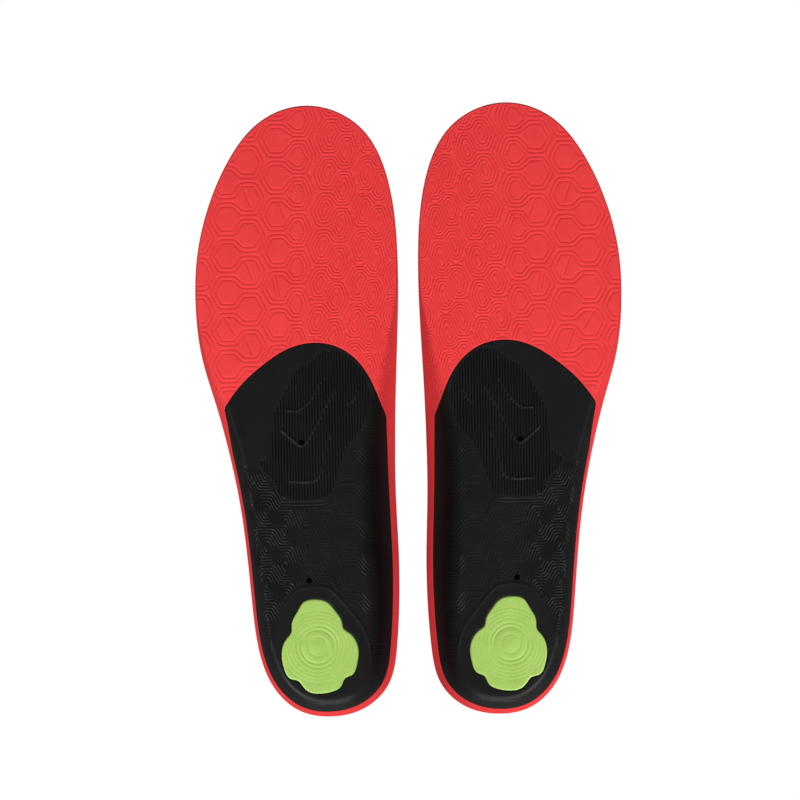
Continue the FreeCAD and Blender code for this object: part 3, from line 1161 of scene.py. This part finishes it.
def build_insoles():
    """Both insoles; the shell and the pad of each go on its rearfoot body."""
    foam = pair_of("foam_base", foam_base(), red_foam())
    shell = pair_of("arch_shell_relief", arch_shell(), black_shell())
    pad = pair_of("heel_pad_rings", heel_pad(), green_gel())
    cushion = pair_of("cushion_layer", layer(FOAM_TOP, CUSHION_TOP), grey_cushion())
    cover = pair_of("top_cover", layer(CUSHION_TOP, COVER_TOP), black_fabric())
    for side in SIDES:
        for pieces, node in ((foam, "foam_base"), (cushion, "cushion_layer"), (cover, "top_cover")):
            bend_layer(side, pieces[side], node)
        for piece, node in ((shell[side], "arch_shell"), (pad[side], "heel_pad")):
            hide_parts(side + "_" + node)
            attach(piece, side + "_rearfoot")
        paint_dimple_shade(shell[side])


# ---- floor, light and camera ----

VIEW_WIDTH = 0.3653
VIEW_DISTANCE = 3.0
VIEW_CENTRE = (0.00465, 0.0048)
VIEW_TURN = math.radians(0.958)
AMBIENT = 0.16


def floor():
    """A pale floor, clear from below so that the soles show."""
    bpy.ops.mesh.primitive_plane_add(size=3.0, location=(0.0, 0.0, 0.0))
    plane = bpy.context.object
    plane.name = "floor"
    material, tree, shader, _ = new_material("pale floor")
    feed(tree, shader, {"Base Color": (0.82, 0.82, 0.81, 1.0), "Roughness": 0.8})
    clear = tree.nodes.new("ShaderNodeBsdfTransparent").outputs[0]
    below = tree.nodes.new("ShaderNodeNewGeometry").outputs["Backfacing"]
    mix = linked(tree, "MixShader", {0: below, 1: shader.outputs[0], 2: clear})
    tree.links.new(mix.outputs[0], tree.nodes["Material Output"].inputs["Surface"])
    plane.data.materials.append(material)
    for rays in ("diffuse", "glossy", "transmission", "shadow"):
        setattr(plane, "visible_" + rays, False)


def surroundings():
    """White to the camera, and a softer white that lights the object from all sides."""
    world = bpy.data.worlds.new("white room")
    bpy.context.scene.world = world
    world.use_nodes = True
    tree = world.node_tree
    tree.nodes["Background"].inputs["Color"].default_value = (1.0, 1.0, 1.0, 1.0)
    seen = tree.nodes.new("ShaderNodeLightPath").outputs["Is Camera Ray"]
    strength = linked(tree, "MapRange", {"Value": seen, "To Min": AMBIENT, "To Max": 1.0})
    tree.links.new(strength.outputs["Result"], tree.nodes["Background"].inputs["Strength"])


def area_light(name, place, target, size, power, only=()):
    """A soft square light that faces a point. It falls on every piece unless words name some."""
    light = bpy.data.lights.new(name, "AREA")
    light.size = size
    light.energy = power
    lamp = bpy.data.objects.new(name, light)
    lamp.location = place
    lamp.rotation_mode = "QUATERNION"
    lamp.rotation_quaternion = (Vector(target) - Vector(place)).to_track_quat("-Z", "Y")
    bpy.context.scene.collection.objects.link(lamp)
    if only:
        lamp.light_linking.receiver_collection = pieces_named(*only)
    return lamp


def pieces_named(*words):
    """A collection of the pieces whose names hold any of the words."""
    lit = bpy.data.collections.new("lit " + " ".join(words))
    for piece in bpy.context.scene.objects:
        if piece.type == "MESH" and any(word in piece.name for word in words):
            lit.objects.link(piece)
    return lit


def lights():
    """Soft lights from below on the soles and from above on the covers and the floor."""
    for side, sign in SIDES.items():
        foot = (sign * 0.05, 0.0, 0.0)
        area_light(side + " low light", (sign * 0.62, -0.8, -0.7), foot, size=0.2, power=12.5,
                   only=[side + "_"])
        inner = area_light(side + " inner light", (-sign * 0.5, -0.4, -0.45), foot, size=0.3,
                           power=2.4, only=[side + "_foam"])
        inner.visible_glossy = False
    middle = (0.0, 0.0, 0.0)
    above = (-0.5, -0.4, 1.1)
    upper_pieces = ("cushion", "cover", "floor")
    area_light("heel light", (0.0, -1.1, -0.22), (0.0, -0.1, 0.0), size=0.5, power=8.0,
               only=["arch_shell", "heel_pad"])
    fill = area_light("low fill", (0.0, 0.6, -1.3), middle, size=0.8, power=6.0)
    fill.visible_glossy = False
    area_light("upper light", above, middle, size=0.7, power=36.0, only=upper_pieces)
    area_light("upper side light", (0.8, 0.5, 0.7), middle, size=0.5, power=11.0, only=upper_pieces)
    area_light("rim light", above, middle, size=0.7, power=18.0, only=["foam"])


def camera():
    """A long lens that looks straight up at the soles, with the toes at the top."""
    data = bpy.data.cameras.new("camera")
    data.sensor_width = 36.0
    data.lens = data.sensor_width * VIEW_DISTANCE / VIEW_WIDTH
    data.clip_end = 10.0
    seen_from = bpy.data.objects.new("camera", data)
    turn_cos, turn_sin = math.cos(VIEW_TURN), math.sin(VIEW_TURN)
    seen_from.matrix_world = Matrix(((-turn_cos, -turn_sin, 0.0, VIEW_CENTRE[0]),
                                     (-turn_sin, turn_cos, 0.0, VIEW_CENTRE[1]),
                                     (0.0, 0.0, -1.0, -VIEW_DISTANCE),
                                     (0.0, 0.0, 0.0, 1.0)))
    bpy.context.scene.collection.objects.link(seen_from)
    bpy.context.scene.camera = seen_from
    bpy.context.scene.view_settings.view_transform = "Standard"


build_insoles()
floor()
surroundings()
lights()
camera()
